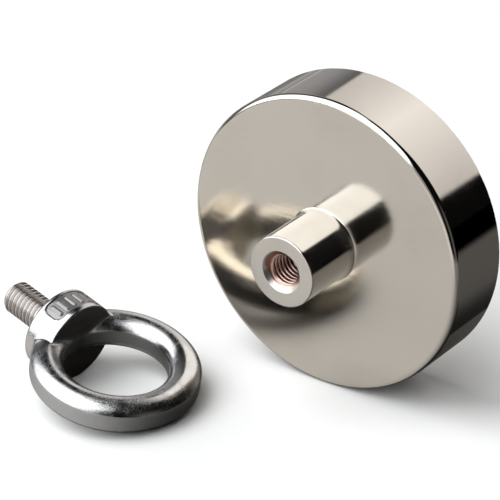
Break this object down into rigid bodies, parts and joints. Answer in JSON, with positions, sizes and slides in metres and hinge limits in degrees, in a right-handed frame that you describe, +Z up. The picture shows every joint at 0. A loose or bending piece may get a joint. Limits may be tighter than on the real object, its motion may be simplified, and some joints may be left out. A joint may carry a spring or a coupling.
{
  "type": "magnet fishing magnet",
  "caption": "Round nickel-plated pot magnet with a threaded bush on its back, and a threaded eye bolt that screws into the bush to take a rope.",
  "frame": {"origin": "centre of the bottom of the bounding box, on the ground that the pot and the eye bolt rest on", "axes": "+Z up; +Y along the pot's axis, out of the pull face; -Y out of the threaded bush; +X to the right as the bush points at the viewer, with the eye bolt lying towards -X"},
  "size_m": [0.1316, 0.0874, 0.09],
  "materials": {
    "nickel_plate": "polished nickel plate over steel",
    "bush_plate": "polished nickel plate, with the copper under-plate showing in the thread",
    "adhesive": "cured adhesive",
    "magnet_plate": "satin nickel plate over sintered magnet",
    "epoxy": "dark potting epoxy",
    "stainless": "polished stainless steel forging"
  },
  "bodies": {
    "magnet": {"steel_pot": "nickel_plate", "threaded_bush": "bush_plate", "adhesive_film": "adhesive", "magnet_disc": "magnet_plate", "resin_ring": "epoxy"},
    "bolt": {"eye_bolt": "stainless"}
  },
  "joints": [
    {"name": "eye_bolt_offer_up", "type": "hinge", "parent": "magnet", "child": "bolt", "pos_m": [-0.02066, -0.05947, 0.02847], "axis": [0.2694, -0.4903, -0.8288], "range_deg": [0, 97.87]}
  ]
}
